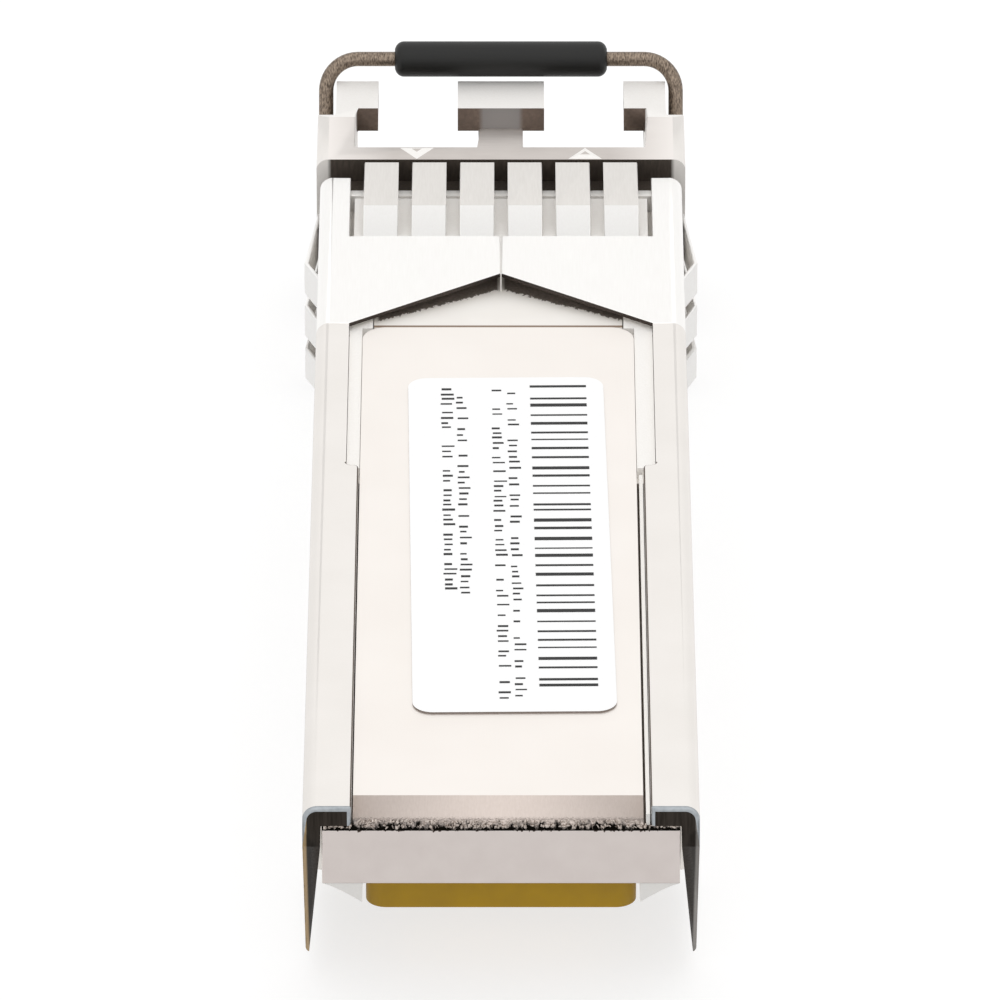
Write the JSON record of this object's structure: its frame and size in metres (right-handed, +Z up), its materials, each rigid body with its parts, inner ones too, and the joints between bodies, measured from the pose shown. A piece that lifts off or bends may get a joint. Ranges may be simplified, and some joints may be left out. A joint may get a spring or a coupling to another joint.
{
  "type": "optical transceiver module",
  "caption": "Small pluggable fibre transceiver: plated housing with duplex ports, shielding collar with spring fingers, wire bail with dark grip and a sprung latch underneath.",
  "frame": {"origin": "middle of the footprint, at the lowest point of the latch boss under the housing", "axes": "+Y from the rear edge connector to the nose with the fibre ports, +Z up through the label side"},
  "size_m": [0.0144, 0.0572, 0.0096],
  "materials": {
    "plated_casting": "bright plated casting",
    "plated_cover": "satin plated casting",
    "spring_sheet": "bright spring sheet",
    "steel_wire": "drawn wire",
    "grip_plastic": "moulded, slightly soft sheen",
    "latch_metal": "plated casting",
    "pin_steel": "ground pin",
    "board_laminate": "laminate edge",
    "contact_gold": "hard gold plating",
    "chip_plastic": "moulded package",
    "capacitor_ceramic": "fired ceramic",
    "clip_plastic": "moulded",
    "label_film": "white film",
    "can_gold": "plated header can",
    "barrel_steel": "turned steel",
    "sleeve_ceramic": "polished ceramic",
    "flex_film": "amber film"
  },
  "bodies": {
    "housing": {"lower_housing": "plated_casting", "top_cover": "plated_cover", "emi_collar": "spring_sheet", "latch_pin": "pin_steel", "latch_spring": "spring_sheet", "pcb": "board_laminate", "edge_contacts_top": "contact_gold", "edge_contacts_bottom": "contact_gold", "driver_chip": "chip_plastic", "controller_chip": "chip_plastic", "memory_chip": "chip_plastic", "capacitors": "capacitor_ceramic", "transmitter_can": "can_gold", "transmitter_barrel": "barrel_steel", "transmitter_sleeve": "sleeve_ceramic", "transmitter_flex": "flex_film", "receiver_can": "can_gold", "receiver_barrel": "barrel_steel", "receiver_sleeve": "sleeve_ceramic", "receiver_flex": "flex_film", "optics_clip": "clip_plastic", "label": "label_film"},
    "bail": {"bail_wire": "steel_wire", "bail_grip": "grip_plastic"},
    "latch": {"latch_rocker": "latch_metal"}
  },
  "joints": [
    {"name": "bail_hinge", "type": "hinge", "parent": "housing", "child": "bail", "pos_m": [0, 0.02359, 0.00125], "axis": [-1, 0, 0], "range_deg": [0, 90]},
    {"name": "latch_pivot", "type": "hinge", "parent": "housing", "child": "latch", "pos_m": [0, 0.01989, 0.00125], "axis": [-1, 0, 0], "range_deg": [0, 10], "stiffness_Nm_per_rad": 0.004, "springref_deg": -20.05, "deforming": ["latch_spring"]}
  ],
  "couplings": [
    {"joint": "latch_pivot", "follows": "bail_hinge", "ratio": 0.10556}
  ]
}
